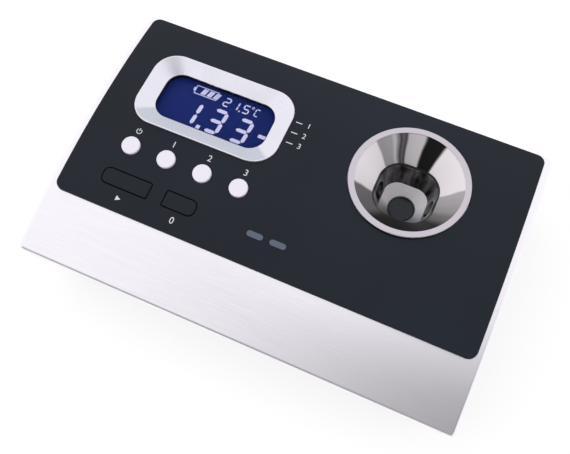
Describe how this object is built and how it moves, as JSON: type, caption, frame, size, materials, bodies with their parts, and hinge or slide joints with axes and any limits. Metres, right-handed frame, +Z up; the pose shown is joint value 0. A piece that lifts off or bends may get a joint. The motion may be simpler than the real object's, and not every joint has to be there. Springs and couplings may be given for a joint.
{
  "type": "refractometer",
  "caption": "Flat battery-powered bench refractometer with an open sample stage, a recessed display, push buttons and keys under an arched steel cover.",
  "frame": {"origin": "centre of the outline, on the surface that the feet rest on", "axes": "+X to the right along the display and the stage, +Y to the back, +Z up"},
  "size_m": [0.17, 0.109, 0.0444],
  "materials": {
    "brushed_steel": "brushed stainless, grain along X",
    "panel_charcoal": "satin charcoal moulding",
    "bezel_silver": "satin silver plating",
    "clear_window": "clear, polished",
    "display_blue": "deep blue liquid crystal cell",
    "button_white": "off-white satin",
    "lens_grey": "smoked grey lens",
    "polished_steel": "polished stainless",
    "well_black": "polished near-black coating",
    "prism_glass": "polished dark glass",
    "optical_glass": "polished optical glass",
    "black_rubber": "matt",
    "black_aluminium": "black anodised",
    "housing_grey": "fine spark texture",
    "inner_plastic": "natural moulding",
    "board_green": "solder mask",
    "screw_steel": "zinc plated",
    "brass": "turned",
    "cell_jacket": "plain jacket",
    "contact_metal": "nickel plated",
    "cable_film": "amber film",
    "black_plastic": "matt"
  },
  "bodies": {
    "body": {"top_cover": "brushed_steel", "front_panel": "panel_charcoal", "display_bezel": "bezel_silver", "display_window": "clear_window", "display_glass": "display_blue", "display_backlight": "inner_plastic", "display_frame": "black_plastic", "display_screws": "screw_steel", "key_switches": "black_plastic", "key_board": "board_green", "key_board_screws": "screw_steel", "indicator_left": "lens_grey", "indicator_right": "lens_grey", "indicator_leds": "inner_plastic", "sample_funnel": "polished_steel", "funnel_nut": "brass", "well_seal": "black_rubber", "sample_well": "well_black", "lamp_window": "optical_glass", "detector_window": "optical_glass", "lamp_barrel": "black_aluminium", "detector_barrel": "black_aluminium", "polariser": "optical_glass", "analyser": "optical_glass", "collimator_lens": "optical_glass", "lamp": "inner_plastic", "photodiode": "black_plastic", "prism": "prism_glass", "prism_seal": "black_rubber", "optics_base": "black_aluminium", "prism_clamp": "screw_steel", "clamp_screws": "screw_steel", "refraction_lamp": "inner_plastic", "line_sensor": "black_plastic", "stage_screws": "screw_steel", "main_board": "board_green", "main_board_screws": "screw_steel", "key_ribbon": "cable_film", "lower_housing": "housing_grey", "cover_gasket": "black_rubber", "cover_screws": "screw_steel", "battery_cells": "cell_jacket", "battery_contacts": "contact_metal", "rubber_feet": "black_rubber"},
    "power_button": {"power_button": "button_white"},
    "scale_button_1": {"scale_button_1": "button_white"},
    "scale_button_2": {"scale_button_2": "button_white"},
    "scale_button_3": {"scale_button_3": "button_white"},
    "start_key": {"start_key": "panel_charcoal"},
    "zero_key": {"zero_key": "panel_charcoal"},
    "battery_door": {"battery_door": "housing_grey"}
  },
  "joints": [
    {"name": "power_button_press", "type": "slide", "parent": "body", "child": "power_button", "axis": [0, 0.1203, -0.9927], "range_m": [0, 0.0006], "stiffness_N_per_m": 500},
    {"name": "scale_button_1_press", "type": "slide", "parent": "body", "child": "scale_button_1", "axis": [0, 0.1203, -0.9927], "range_m": [0, 0.0006], "stiffness_N_per_m": 500},
    {"name": "scale_button_2_press", "type": "slide", "parent": "body", "child": "scale_button_2", "axis": [0, 0.1203, -0.9927], "range_m": [0, 0.0006], "stiffness_N_per_m": 500},
    {"name": "scale_button_3_press", "type": "slide", "parent": "body", "child": "scale_button_3", "axis": [0, 0.1203, -0.9927], "range_m": [0, 0.0006], "stiffness_N_per_m": 500},
    {"name": "start_key_press", "type": "slide", "parent": "body", "child": "start_key", "axis": [0, 0.1203, -0.9927], "range_m": [0, 0.0006], "stiffness_N_per_m": 500},
    {"name": "zero_key_press", "type": "slide", "parent": "body", "child": "zero_key", "axis": [0, 0.1203, -0.9927], "range_m": [0, 0.0006], "stiffness_N_per_m": 500},
    {"name": "battery_door_slide", "type": "slide", "parent": "body", "child": "battery_door", "axis": [0, 1, 0], "range_m": [0, 0.036]}
  ]
}
